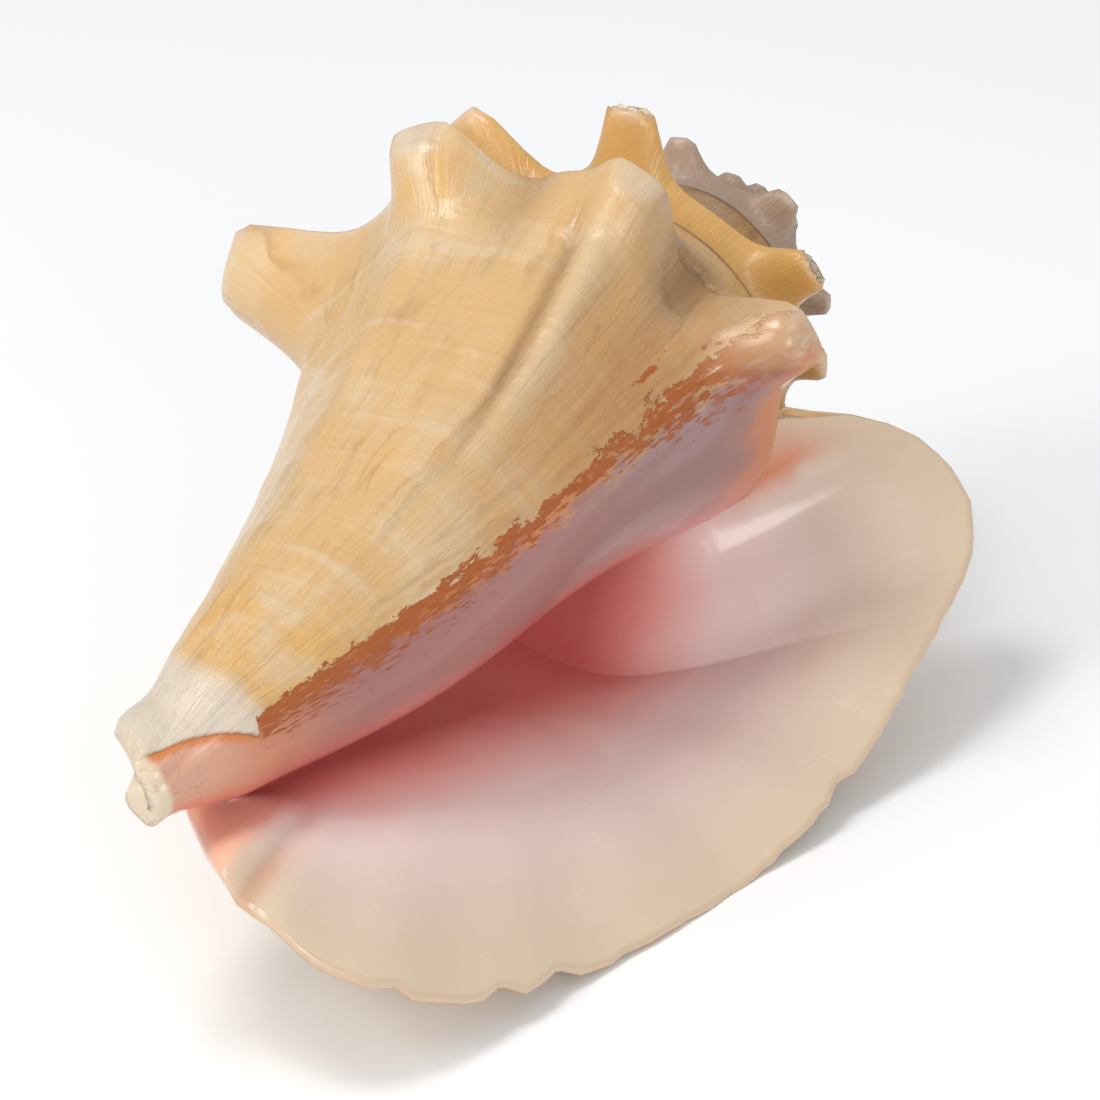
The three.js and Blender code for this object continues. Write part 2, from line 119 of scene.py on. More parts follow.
# The lip's free edge, from the shoulder down to the canal.
LIP_EDGE = [
    (34, -10, -53), (54, -1, -29), (72, 5, -36), (79, 13, -62), (83, 22, -90), (82, 26, -120),
    (76, 27, -148), (69, 23, -175), (58, 15, -198), (42, 9, -210), (22, 8, -208), (5, 18, -191),
]
RIM_CHIPS = [(0.37, 1.6), (0.615, 2.6), (0.66, 2.0), (0.75, 1.4)]   # place on the edge, depth
CHIP_WIDTH = 0.012             # half of it, on the same scale as the places
LIP_START_PULL = 0.9           # how strongly the lip follows the last whorl, then its edge
LIP_END_PULL = 0.8
LIP_END_RISE = 0.35            # how much the lip turns out as it reaches its edge
RIM_FOLD = (0.882, 0.012)      # place and half width of a fold near the canal, and of the lobe
RIM_LOBE = (0.915, 0.02)       # that hangs beside it

# The shell's own axes as it lies, and where its frame begins.
LAID_X = Vector((0.770524, -0.315575, 0.553810))
LAID_Y = Vector((-0.469444, 0.306780, 0.827955))
LAID_Z = Vector((-0.431179, -0.897941, 0.088236))
LAID_AT = Vector((41.619, 94.078, 71.006))


class Amount:
    """A number or a direction that a node tree works out over a surface."""

    tree = None

    def __init__(self, socket):
        self.socket = socket
        self.is_vector = socket.type == "VECTOR"

    def __add__(self, other):
        return worked_out("ADD", self, other)

    def __sub__(self, other):
        return worked_out("SUBTRACT", self, other)

    def __mul__(self, other):
        return worked_out("MULTIPLY", self, other)

    def __truediv__(self, other):
        return worked_out("DIVIDE", self, other)

    def __pow__(self, other):
        return worked_out("POWER", self, other)

    def __radd__(self, other):
        return worked_out("ADD", other, self)

    def __rsub__(self, other):
        return worked_out("SUBTRACT", other, self)

    def __rmul__(self, other):
        return worked_out("MULTIPLY", other, self)

    def __rtruediv__(self, other):
        return worked_out("DIVIDE", other, self)

    def __rpow__(self, other):
        return worked_out("POWER", other, self)

    def __neg__(self):
        return worked_out("MULTIPLY", self, -1.0)


def feed(value, entry):
    """Links an Amount to a node's entry, or sets the entry to a plain value."""
    if isinstance(value, Amount):
        Amount.tree.links.new(value.socket, entry)
    else:
        entry.default_value = value


def node(kind, *values, out=0, **settings):
    """A node of the tree being built, with its entries fed in order. None leaves one as it is."""
    made = Amount.tree.nodes.new(kind)
    for name, setting in settings.items():
        setattr(made, name, setting)
    for value, entry in zip(values, [e for e in made.inputs if e.enabled]):
        if value is not None:
            feed(value, entry)
    return Amount(made.outputs[out]) if out is not None else made


def is_direction(value):
    return value.is_vector if isinstance(value, Amount) else isinstance(value, (tuple, Vector))


def worked_out(operation, *values):
    """One step of arithmetic on numbers, directions, or a direction and a number."""
    directions = [v for v in values if is_direction(v)]
    if not directions:
        return node("ShaderNodeMath", *values, operation=operation)
    if operation == "MULTIPLY" and len(directions) == 1:
        by = next(v for v in values if not is_direction(v))
        made = node("ShaderNodeVectorMath", directions[0], out=None, operation="SCALE")
        feed(by, made.inputs["Scale"])
        return Amount(made.outputs[0])
    return node("ShaderNodeVectorMath", *values, operation=operation)


def sine(a):
    return worked_out("SINE", a)


def cosine(a):
    return worked_out("COSINE", a)


def larger(a, b):
    return worked_out("MAXIMUM", a, b)


def smaller(a, b):
    return worked_out("MINIMUM", a, b)


def steps_up(value, start, end):
    """Rises smoothly from 0 at start to 1 at end."""
    return node("ShaderNodeMapRange", value, start, end, 0.0, 1.0, interpolation_type="SMOOTHSTEP")


def hump(value, middle, half_width):
    """1 at the middle, falling smoothly to nothing on both sides."""
    away = (value - middle) / half_width
    return worked_out("EXPONENT", -(away * away))


def between(a, b, share):
    return a + (b - a) * share


def chosen(test, when_over, otherwise):
    """when_over where test is over 0, otherwise elsewhere."""
    over = worked_out("GREATER_THAN", test, 0.0)
    return otherwise + (when_over - otherwise) * over


def spot(x, y, z):
    return node("ShaderNodeCombineXYZ", x, y, z)


def parts_of(direction):
    made = node("ShaderNodeSeparateXYZ", direction, out=None)
    return [Amount(output) for output in made.outputs]


def dot(a, b):
    return node("ShaderNodeVectorMath", a, b, out=1, operation="DOT_PRODUCT")


def length_of(a):
    return node("ShaderNodeVectorMath", a, out=1, operation="LENGTH")


def unit(a):
    return node("ShaderNodeVectorMath", a, operation="NORMALIZE")


def mixed(a, b, share):
    """A direction part of the way from a to b."""
    return a + (b - a) * share


def of_list(index, values):
    """The entry of a list that the index names, of numbers or of spots."""
    kind = "VECTOR" if isinstance(values[0], (tuple, Vector)) else "FLOAT"
    made = Amount.tree.nodes.new("GeometryNodeIndexSwitch")
    made.data_type = kind
    while len(made.index_switch_items) < len(values):
        made.index_switch_items.new()
    feed(index, made.inputs[0])
    for value, entry in zip(values, made.inputs[1:]):
        entry.default_value = value
    return Amount(made.outputs[0])


def new_group(name, entries, results):
    """A geometry tree with these entries, whose values come from SIZES, and these results."""
    tree = bpy.data.node_groups.new(name, "GeometryNodeTree")
    for label, kind in results.items():
        tree.interface.new_socket(label, in_out="OUTPUT", socket_type=kind)
    for label, kind in entries.items():
        socket = tree.interface.new_socket(label, in_out="INPUT", socket_type=kind)
        if label in SIZES:
            socket.default_value = SIZES[label]
    Amount.tree = tree
    start = tree.nodes.new("NodeGroupInput")
    given = {e.name: Amount(e) for e in start.outputs if e.name}
    return tree, given, tree.nodes.new("NodeGroupOutput")


def results_of(group, values):
    """The results of another tree by name, after its entries are fed by name."""
    made = Amount.tree.nodes.new("GeometryNodeGroup")
    made.node_tree = group
    for name, value in values.items():
        feed(value, made.inputs[name])
    return {output.name: Amount(output) for output in made.outputs}


FLOAT = "NodeSocketFloat"
POINT_RESULTS = {"Point": "NodeSocketVector", "Tip": FLOAT, "Hole": FLOAT}
SIZE_ENTRIES = {name: FLOAT for name in SIZES}


# How far a spine stands out, and its height above the profile, summed over the spines.
def spine_tree():
    entries = {"Turns": FLOAT, "Along": FLOAT, "Below": FLOAT, "Covered": FLOAT, **SIZE_ENTRIES}
    tree, given, results = new_group(
        "Spines", entries, {"Out": FLOAT, "Up": FLOAT, "Tip": FLOAT, "Hole": FLOAT}
    )
    angle = EDGE_ANGLE - 360.0 * given["Turns"]
    below = given["Below"]

    def one_spine(spine_angle, height, half_width, lean, rib_share=0.3, broken=0.0):
        """One spine: a blunt cone on the shoulder and a rib that fades down the side."""
        size = given["Whorl growth"] ** ((spine_angle - EDGE_ANGLE) / 360.0)
        apart = worked_out("ABSOLUTE", angle - spine_angle) * (math.pi / 180)
        across = apart * given["Shoulder radius"] / half_width
        reach_below = between(SPINE_REACH_DOWN, SPINE_REACH_UP, given["Covered"])
        down = given["Along"] / (between(SPINE_REACH_UP, reach_below, below) * size)
        spread = worked_out("SQRT", across * across + down * down)
        side = SPINE_BLUNTNESS / (spread ** SPINE_STEEPNESS + 1.0)
        cone = worked_out("SMOOTH_MIN", 1.0, side, 0.3)
        fade = worked_out("EXPONENT", -(across * across) - given["Along"] / (RIB_LENGTH * size))
        rib = below * (1.0 - given["Covered"]) * rib_share * fade
        reach = height * size * larger(cone, rib)
        hole = broken * (1.0 - steps_up(spread, 0.25, 0.52))
        reach = reach - TUBE_DEPTH * hole
        pointed = worked_out("GREATER_THAN", height, 0.0)
        return reach * cosine(lean), reach * sine(lean), pointed * cone ** 4.0, hole

    # The spines of the last two whorls, one after another.
    start = tree.nodes.new("GeometryNodeRepeatInput")
    end = tree.nodes.new("GeometryNodeRepeatOutput")
    start.pair_with_output(end)
    end.repeat_items.clear()
    totals = ("Out", "Up", "Tip", "Hole")
    for label in totals:
        end.repeat_items.new("FLOAT", label)
    start.inputs["Iterations"].default_value = len(SPINES)
    which = Amount(start.outputs["Iteration"])
    angles, heights, widths, leans, ribs, broken = zip(*SPINES)
    pushes = one_spine(
        of_list(which, angles), of_list(which, heights), of_list(which, widths),
        of_list(which, [math.radians(lean) for lean in leans]), of_list(which, ribs),
        of_list(which, broken),
    )
    for label, push in zip(totals, pushes):
        feed(Amount(start.outputs[label]) + push, end.inputs[label])

    # The evenly spaced ones of the older whorls: the nearest, and one on each side of it.
    first = SPINES[-1][0] - SPIRE_SPINE_STEP
    number = worked_out("ROUND", (angle - first) / -float(SPIRE_SPINE_STEP))
    sums = [Amount(end.outputs[label]) for label in totals]
    for beside in (-1, 0, 1):
        count = number + float(beside)
        height = SPIRE_SPINE_HEIGHT * (1.0 - SPIRE_SPINE_SHRINK * steps_up(count, 5.0, 8.0))
        pushes = one_spine(first - SPIRE_SPINE_STEP * count, height, 8.0, math.radians(8))
        shown = worked_out("GREATER_THAN", count, -0.5)
        sums = [total + push * shown for total, push in zip(sums, pushes)]
    for label, total in zip(totals, sums):
        feed(total, results.inputs[label])
    return tree


SPINE_TREE = spine_tree()


def creased_rib(turns, place):
    """Turns from the crest of the rib below the fifth spine, and 1 along that rib."""
    crest = turns - 0.575 - 0.13 * (place - 0.33)
    return crest, steps_up(place, 0.27, 0.34) * (1.0 - steps_up(place, 0.45, 0.66))


# One point of a whorl: turns back from the lip, place on the profile from the suture (0) over
# the shoulder (RAMP_SHARE) to the canal (1), and inset, how far inside the outer face.
def whorl_tree():
    entries = {"Turns": FLOAT, "Place": FLOAT, "Inset": FLOAT, **SIZE_ENTRIES}
    tree, given, results = new_group("Whorl", entries, POINT_RESULTS)
    turns, place, inset = given["Turns"], given["Place"], given["Inset"]
    length = given["Length"]
    sizes = {name: given[name] for name in SIZES}

    def size_at(back):
        return given["Whorl growth"] ** -back

    def shoulder_height(back):
        rise = SPIRE_RISE * steps_up(back, 1.1, 2.3)
        return rise - given["Shoulder drop"] * size_at(back)

    def side(back, fall, inward):
        """Radius and height of a whorl's side, for fall from its shoulder (0) to the canal (1)."""
        shoulder = given["Shoulder radius"] * size_at(back) - inward
        top = shoulder_height(back) - 0.9 * inward
        pillar = given["Pillar radius"] - 0.6 * inward - PILLAR_TAPER * steps_up(back, 0.95, 1.1)
        pillar = pillar - END_TAPER * steps_up(fall, 0.86, 1.0)
        bulge = hump(back, BULGE_TURNS, 0.17) * hump(fall, BULGE_FALL, 0.055)
        pillar = pillar + END_BULGE * bulge
        gap = CANAL_GAP * (1.0 - steps_up(back, 0.0, 0.42)) * fall ** 3.0
        curve = (1.0 - fall) ** 1.28 + 0.1 * sine(math.pi * fall)
        # Beside the mouth the side is worn hollow, where the next whorl would have grown over it.
        beside_mouth = steps_up(back, 0.62, 0.85) * (1.0 - steps_up(back, 1.05, 1.35))
        worn = WORN_DEPTH * beside_mouth * hump(fall, WORN_FALL, WORN_FALL)
        end = CANAL_STEP * (1.0 - steps_up(back, 0.1, 0.55)) - length
        r = pillar + gap + (shoulder - pillar) * curve - worn
        return r, between(top, end, fall)

    before = turns + 1.0
    suture_fall = SUTURE_DROP * size_at(before) / (length + shoulder_height(before))
    suture_r, suture_z = side(before, suture_fall, 0.0)
    apex_closed = steps_up(turns, APEX_CLOSES - 0.1, APEX_CLOSES + 0.1)
    suture_r = (suture_r - 0.5 * inset) * (1.0 - apex_closed)
    suture_z = suture_z - inset
    shoulder_r, shoulder_z = side(turns, 0.0, inset)
    down = smaller(place / RAMP_SHARE, 1.0)
    fall = larger(0.0, (place - RAMP_SHARE) / (1.0 - RAMP_SHARE))
    side_r, side_z = side(turns, fall, inset)
    ramp_r = between(suture_r, shoulder_r, down)
    sag = RAMP_SAG * size_at(turns) * sine(math.pi * down)
    ramp_z = between(suture_z, shoulder_z, down) - sag
    below = worked_out("GREATER_THAN", place, RAMP_SHARE)
    rise = worked_out("SQRT", (suture_r - shoulder_r) ** 2.0 + (suture_z - shoulder_z) ** 2.0)
    along = chosen(below, fall * (length + shoulder_z), (1.0 - down) * rise)

    spines = results_of(SPINE_TREE, {
        "Turns": turns, "Along": along, "Below": below, "Covered": steps_up(turns, 0.85, 1.0),
        **sizes,
    })
    # The outer face is a little uneven. In the hollows beside a spine the inner one sinks too.
    outer = worked_out("LESS_THAN", inset, 0.01)
    uneven = node("ShaderNodeTexNoise", spot(turns * 16.0, place * 13.0, 0.0), 1.0, 1.0)
    uneven = (uneven - 0.5) * 2.0 * size_at(turns) * steps_up(place, 0.0, 0.1)
    uneven = uneven * (1.0 - steps_up(turns, 0.6, 0.7))
    # The rib below the fifth spine is creased along its newer side.
    crest, on_rib = creased_rib(turns, place)
    creased = 1.6 * hump(crest, 0.0, 0.014) - 1.5 * hump(crest, -0.018, 0.006)
    uneven = uneven + creased * on_rib
    inwards = smaller(spines["Out"], 0.0) * (1.0 - outer)
    r = chosen(below, side_r, ramp_r) + (spines["Out"] + uneven) * outer + inwards
    z = chosen(below, side_z, ramp_z) + spines["Up"] * outer

    # Turned to its growth angle, and bowed near the canal.
    angle = (EDGE_ANGLE - 360.0 * turns) * (math.pi / 180)
    bow = larger(0.0, (-z - BOW_START) / (length - BOW_START))
    x = r * cosine(angle) + BOW_TO_LIP * sine(math.pi * bow) + HOOK * bow ** 10.0
    y = BOW_OUT * bow ** 4.0 - r * sine(angle)
    feed(spot(x, y, z), results.inputs["Point"])
    feed(spines["Tip"], results.inputs["Tip"])
    feed(spines["Hole"], results.inputs["Hole"])
    return tree


WHORL_TREE = whorl_tree()


# The whole skin, in sheets whose borders meet and are then joined: the last whorl and its lip,
# outside and inside; the coil behind it; the spire; and the hidden ends that close them.
EDGE_FINENESS = 32             # steps between two points of the lip's edge


def lip_edge_tree():
    """The point of the lip's free edge for a place from 0 to 1."""
    tree, given, results = new_group("Lip edge", {"Place": FLOAT}, {"Point": "NodeSocketVector"})
    line = node("GeometryNodeMeshLine", out=None, mode="OFFSET")
    line.inputs["Count"].default_value = len(LIP_EDGE)
    curve = node("GeometryNodeMeshToCurve", Amount(line.outputs[0]))
    at = of_list(node("GeometryNodeInputIndex"), LIP_EDGE)
    moved = Amount.tree.nodes.new("GeometryNodeSetPosition")
    feed(curve, moved.inputs["Geometry"])
    feed(at, moved.inputs["Position"])
    bent = Amount.tree.nodes.new("GeometryNodeCurveSplineType")
    bent.spline_type = "CATMULL_ROM"
    feed(Amount(moved.outputs[0]), bent.inputs["Curve"])
    fine = Amount.tree.nodes.new("GeometryNodeSetSplineResolution")
    feed(Amount(bent.outputs[0]), fine.inputs["Geometry"])
    fine.inputs["Resolution"].default_value = EDGE_FINENESS
    points = Amount.tree.nodes.new("GeometryNodeCurveToMesh")
    feed(Amount(fine.outputs[0]), points.inputs["Curve"])
    count = float(EDGE_FINENESS * (len(LIP_EDGE) - 1))
    reach = given["Place"] * count
    before = worked_out("FLOOR", smaller(reach, count - 1.0))

    def sampled(index):
        made = Amount.tree.nodes.new("GeometryNodeSampleIndex")
        made.data_type = "FLOAT_VECTOR"
        feed(Amount(points.outputs[0]), made.inputs["Geometry"])
        feed(node("GeometryNodeInputPosition"), made.inputs["Value"])
        feed(index, made.inputs["Index"])
        return Amount(made.outputs[0])

    point = mixed(sampled(before), sampled(before + 1.0), reach - before)
    feed(point, results.inputs["Point"])
    return tree


LIP_EDGE_TREE = lip_edge_tree()


def face_tree():
    """A point of either face: Turns is 0 on the lip, and Out runs from the last whorl (0) to
    the rim (1). Face is 0 outside and 1 inside."""
    entries = {"Turns": FLOAT, "Out": FLOAT, "Place": FLOAT, "Face": FLOAT, **SIZE_ENTRIES}
    tree, given, results = new_group("Face", entries, POINT_RESULTS)
    place, face = given["Place"], given["Face"]
    inset = face * given["Wall"]
    common = {"Place": place, "Inset": inset, **{name: given[name] for name in SIZES}}
    whorl = results_of(WHORL_TREE, {"Turns": given["Turns"], **common})
    start = whorl["Point"]
    behind = results_of(WHORL_TREE, {"Turns": given["Turns"] + 0.01, **common})["Point"]
    growth = unit(start - behind)

    middle = results_of(LIP_EDGE_TREE, {"Place": place})["Point"]
    gap = middle - start
    reach = length_of(gap)
    arrival = gap * (1.0 / reach) + Vector((0.0, LIP_END_RISE, 0.0))
    along = unit(arrival)
    back = Vector((0.0, 1.0, 0.0))
    back = unit(node("ShaderNodeCombineXYZ", 0.0, 1.0, 0.0) - along * dot(along, back))
    edge = middle + back * ((0.5 - face) * given["Lip thickness"])
    wave = node("ShaderNodeTexNoise", spot(place * 12.0, 0.0, 5.0), 1.0, 0.0) - 0.5
    fold = hump(place, *RIM_FOLD)
    lobe = hump(place, *RIM_LOBE)
    edge = edge + back * (wave * 6.0 + fold * 3.0 - lobe * 1.5)

    ragged = node("ShaderNodeTexNoise", spot(place * 60.0, 3.0, 0.0), 1.0, 3.0) - 0.5
    chipped = 3.0 * ragged + 1.2 * fold - 1.5 * lobe
    for chip_place, depth in RIM_CHIPS:
        away = (place - chip_place) / CHIP_WIDTH
        chipped = depth * worked_out("EXPONENT", -(away ** 4.0)) + chipped
    out = given["Out"] * (1.0 - chipped / reach * steps_up(given["Out"], 0.75, 1.0))
    left = 1.0 - out
    ease = out * out * (3.0 - 2.0 * out)
    point = (
        start * (1.0 - ease) + edge * ease
        + growth * (LIP_START_PULL * reach * out * left * left)
        - arrival * (LIP_END_PULL * reach * out * out * left)
    )
    feed(point, results.inputs["Point"])
    feed(whorl["Tip"] * (1.0 - given["Out"]), results.inputs["Tip"])
    feed(whorl["Hole"], results.inputs["Hole"])
    return tree


FACE_TREE = face_tree()


# Rows run down a profile, closest together at the shoulder and at the chips of the rim.
RAMP_ROWS = 18
SIDE_ROWS = 82
SPIRE_ROWS = RAMP_ROWS + 24
ROWS = RAMP_ROWS + SIDE_ROWS
WHORL_STEPS = 165              # columns of the last whorl, the lip, its rim, and the coil
LIP_STEPS = 40
RIM_STEPS = 6
COIL_STEPS = 165
SPIRE_STEPS = 560
CLOSER = 0.7                   # how strongly rows and columns are drawn together
CLOSER_DEGREES = 7.0           # how far from a spine
NEWEST_SPINES = 14             # of the list, those that get closer columns
AXIS_TOP = (0.0, 0.0, -60.0)   # the hidden ends meet here, and in the middle of the canal's end
AXIS_END = (HOOK, BOW_OUT, -SIZES["Length"])


def place_of(row):
    """The place on the profile of a row from 0 to ROWS."""
    down = smaller(1.0, row / RAMP_ROWS)
    s = larger(0.0, (row - RAMP_ROWS) / SIDE_ROWS)
    place = RAMP_SHARE * down * (1.7 - 0.7 * down) + (1.0 - RAMP_SHARE) * s * (0.18 + 0.82 * s)
    closer = 0.0
    for chip_place, _depth in RIM_CHIPS:
        away = place - chip_place
        closer = CLOSER * away * hump(away, 0.0, 0.014) + closer
    return place - closer


def closer_at_spines(turns):
    """Draws columns together at each of the newest spines."""
    angle = EDGE_ANGLE - 360.0 * turns
    closer = 0.0
    for spine in SPINES[:NEWEST_SPINES]:
        away = (angle - float(spine[0])) / CLOSER_DEGREES
        closer = away * hump(away, 0.0, 1.0) + closer
    return turns + closer * (CLOSER * CLOSER_DEGREES / 360.0)


def sheet(columns, rows):
    """A flat sheet of points, and the number of each one's column and row."""
    made = Amount.tree.nodes.new("GeometryNodeMeshGrid")
    sizes = {"Size X": 1.0, "Size Y": 1.0, "Vertices X": columns, "Vertices Y": rows}
    for label, value in sizes.items():
        made.inputs[label].default_value = value
    x, y, _z = parts_of(node("GeometryNodeInputPosition"))
    column = worked_out("ROUND", (x + 0.5) * (columns - 1.0))
    row = worked_out("ROUND", (y + 0.5) * (rows - 1.0))
    return Amount(made.outputs["Mesh"]), column, row


def noted(mesh, label, value):
    made = Amount.tree.nodes.new("GeometryNodeStoreNamedAttribute")
    made.data_type = "FLOAT"
    made.domain = "POINT"
    made.inputs["Name"].default_value = label
    feed(mesh, made.inputs["Geometry"])
    feed(value, made.inputs["Value"])
    return Amount(made.outputs["Geometry"])


def face_results(turns, out, place, face):
    return results_of(
        FACE_TREE, {"Turns": turns, "Out": out, "Place": place, "Face": face, **size_given}
    )


def face_point(turns, out, place, face):
    return face_results(turns, out, place, face)["Point"]


def placed(mesh, points, turns, out, place, face):
    """Notes where on the shell each point is, then moves it there."""
    here = face_results(turns, out, place, 0.0)
    notes = {
        "growth": turns - out, "place": place, "face": face,
        "tip": here["Tip"], "hole": here["Hole"],
    }
    for label, value in notes.items():
        mesh = noted(mesh, label, value)
    # A field that reads the flat sheet is worked out before any point moves.
    moved = Amount.tree.nodes.new("GeometryNodeSetPosition")
    feed(mesh, moved.inputs["Geometry"])
    feed(points, moved.inputs["Position"])
    return Amount(moved.outputs[0])


def over(value, limit):
    return worked_out("GREATER_THAN", value, limit)


shell_tree, given, shell_results = new_group(
    "Conch shell",
    {"Geometry": "NodeSocketGeometry", **SIZE_ENTRIES, "Material": "NodeSocketMaterial"},
    {"Geometry": "NodeSocketGeometry"},
)
size_given = {name: given[name] for name in SIZES}


def last_whorl_and_lip():
    """A loop of columns: the outer face out to the rim, round it, and the inner face back."""
    one_side = WHORL_STEPS + LIP_STEPS
    mesh, column, row = sheet(2 * one_side + RIM_STEPS + 1, ROWS + 3)
    inside = over(column, one_side + RIM_STEPS - 0.5)
    step = smaller(column, float(one_side))
    step = between(step, 2.0 * one_side + RIM_STEPS - column, inside)
    turns = closer_at_spines(MOUTH_DEPTH * larger(0.0, 1.0 - step / WHORL_STEPS))
    turns = turns * over(WHORL_STEPS - 0.5, step)
    out = larger(0.0, (step - float(WHORL_STEPS)) / LIP_STEPS)
    place = place_of(smaller(larger(row - 1.0, 0.0), float(ROWS)))
    outer = face_point(turns, out, place, 0.0)
    inner = face_point(turns, out, place, 1.0)
    middle = mixed(outer, inner, 0.5)
    before = mixed(face_point(0.0, 0.97, place, 0.0), face_point(0.0, 0.97, place, 1.0), 0.5)
    round_rim = larger(0.0, smaller(1.0, (column - float(one_side)) / RIM_STEPS)) * math.pi
    half = mixed(outer, inner, 0.5) - inner
    rim = middle + half * cosine(round_rim)
    rim = rim + unit(middle - before) * (length_of(half) * sine(round_rim) * over(out, 0.999))
    end_row = over(0.5, row) + over(row, ROWS + 1.5)
    point = mixed(rim, middle, end_row)
    face = 0.5 - 0.5 * cosine(round_rim)
    return placed(mesh, point, turns, out, place, face)


def coil(columns, first_turn, last_turn, rows, ends):
    """A stretch of the filled coil, from its oldest column to its newest."""
    mesh, column, row = sheet(columns + 1 + ends, rows + (5 if rows == ROWS else 4))
    step = larger(0.0, column - float(ends))
    turns = closer_at_spines(between(first_turn, last_turn, step / columns))
    turns = between(turns, first_turn, over(0.5, step))
    turns = between(turns, last_turn, over(step, columns - 0.5))
    place = place_of(smaller(larger(row - 2.0, 0.0), float(rows)))
    outer = face_point(turns, 0.0, place, 0.0)
    middle = mixed(outer, face_point(turns, 0.0, place, 1.0), 0.5)
    point = mixed(outer, middle, over(1.5, row) + over(row, rows + 2.5))
    if rows == ROWS:
        point = mixed(point, AXIS_END, over(row, rows + 3.5))
    else:
        point = mixed(point, AXIS_TOP, over(row, rows + 2.5))
    hidden = over(0.5, row)
    if ends:
        hidden = larger(hidden, over(0.5, column))
    point = mixed(point, AXIS_TOP, hidden)
    return placed(mesh, point, turns, 0.0, place, 0.0)


def closing(turns, face, first_row):
    """Closes a profile from one of its rows down, with a fan from the axis."""
    mesh, column, row = sheet(2, ROWS + 3 - first_row + (1 if first_row == 0 else 0))
    row = row + float(first_row)
    if first_row == 0:
        row = row - 1.0
    place = place_of(smaller(larger(row, 0.0), float(ROWS)))
    point = face_point(turns, 0.0, place, face)
    middle = mixed(face_point(turns, 0.0, place, 0.0), face_point(turns, 0.0, place, 1.0), 0.5)
    point = mixed(point, middle, over(-0.5, row) + over(row, ROWS + 0.5))
    point = mixed(point, AXIS_END, over(row, ROWS + 1.5))
    fan_end = over(column, 0.5) if first_row == 0 else over(0.5, column)
    point = mixed(point, AXIS_TOP, fan_end)
    return placed(mesh, point, turns, 0.0, place, face)


sheets = [
    last_whorl_and_lip(),
    coil(COIL_STEPS, INNER_TURNS, MOUTH_DEPTH, ROWS, 0),
    coil(SPIRE_STEPS, APEX_TURNS, INNER_TURNS, SPIRE_ROWS, 1),
    closing(MOUTH_DEPTH, 1.0, 0),
    closing(INNER_TURNS, 0.0, SPIRE_ROWS),
]
joined = shell_tree.nodes.new("GeometryNodeJoinGeometry")
for one in reversed(sheets):
    feed(one, joined.inputs[0])
merged = shell_tree.nodes.new("GeometryNodeMergeByDistance")
feed(Amount(joined.outputs[0]), merged.inputs["Geometry"])
merged.inputs["Distance"].default_value = 0.002

# Laid down: its own axes turned to how it lies, and worn flat where it touches.
grown = node("GeometryNodeInputPosition")
laid = spot(dot(grown, LAID_X), dot(grown, LAID_Y), dot(grown, LAID_Z)) + LAID_AT
x, y, z = parts_of(laid)
laid = spot(x, y, larger(0.0, z)) * 0.001
settled = shell_tree.nodes.new("GeometryNodeSetPosition")
feed(Amount(merged.outputs[0]), settled.inputs["Geometry"])
feed(laid, settled.inputs["Position"])
smooth = shell_tree.nodes.new("GeometryNodeSetShadeSmooth")
feed(Amount(settled.outputs[0]), smooth.inputs[0])
whole = shell_tree.nodes.new("GeometryNodeRealizeInstances")
feed(Amount(smooth.outputs[0]), whole.inputs[0])
painted = shell_tree.nodes.new("GeometryNodeSetMaterial")
feed(Amount(whole.outputs[0]), painted.inputs["Geometry"])
feed(given["Material"], painted.inputs["Material"])
feed(Amount(painted.outputs[0]), shell_results.inputs["Geometry"])


# The shell's skin, in one material: chalky ochre outside, a ragged orange-brown edge where the
# glaze begins, mauve glaze beside the mouth, and inside, deep rose that pales towards the rim.
def colour(red, green, blue):
    """A colour from its three screen values, 0 to 255."""
    values = [c / 255 for c in (red, green, blue)]
    return tuple(c / 12.92 if c < 0.0405 else ((c + 0.055) / 1.055) ** 2.4 for c in values) + (1.0,)


def painted_over(under, over_it, share):
    """One colour over another, where share is 1."""
    made = Amount.tree.nodes.new("ShaderNodeMix")
    made.data_type = "RGBA"
    feed(share, made.inputs[0])
    feed(under, made.inputs[6])
    feed(over_it, made.inputs[7])
    return Amount(made.outputs[2])


def graded(value, stops):
    """A run of colours along a value from 0 to 1."""
    made = Amount.tree.nodes.new("ShaderNodeValToRGB")
    ramp = made.color_ramp
    while len(ramp.elements) < len(stops):
        ramp.elements.new(0.5)
    for element, (position, shade) in zip(ramp.elements, stops):
        element.position = position
        element.color = shade
    feed(value, made.inputs[0])
    return Amount(made.outputs[0])


def mottle(at, scale, detail=2.0, roughness=0.5):
    """Soft noise round 0, about -0.5 to 0.5."""
    made = Amount.tree.nodes.new("ShaderNodeTexNoise")
    feed(at, made.inputs["Vector"])
    for label, value in (("Scale", scale), ("Detail", detail), ("Roughness", roughness)):
        made.inputs[label].default_value = value
    return Amount(made.outputs[0]) - 0.5


def noted_value(label):
    made = Amount.tree.nodes.new("ShaderNodeAttribute")
    made.attribute_name = label
    return Amount(made.outputs["Fac"])


def coats(ground, *layers):
    """A ground with more colours over it, each by its own share."""
    for shade, share in layers:
        ground = painted_over(ground, shade, share)
    return ground


shell_glaze = bpy.data.materials.new("shell_glaze")
shell_glaze.use_nodes = True
Amount.tree = shell_glaze.node_tree
shader = shell_glaze.node_tree.nodes["Principled BSDF"]
growth, place, face = noted_value("growth"), noted_value("place"), noted_value("face")
tip, hole = noted_value("tip"), noted_value("hole")
coordinates = Amount.tree.nodes.new("ShaderNodeTexCoord")
at = Amount(coordinates.outputs["Object"]) * 1000.0

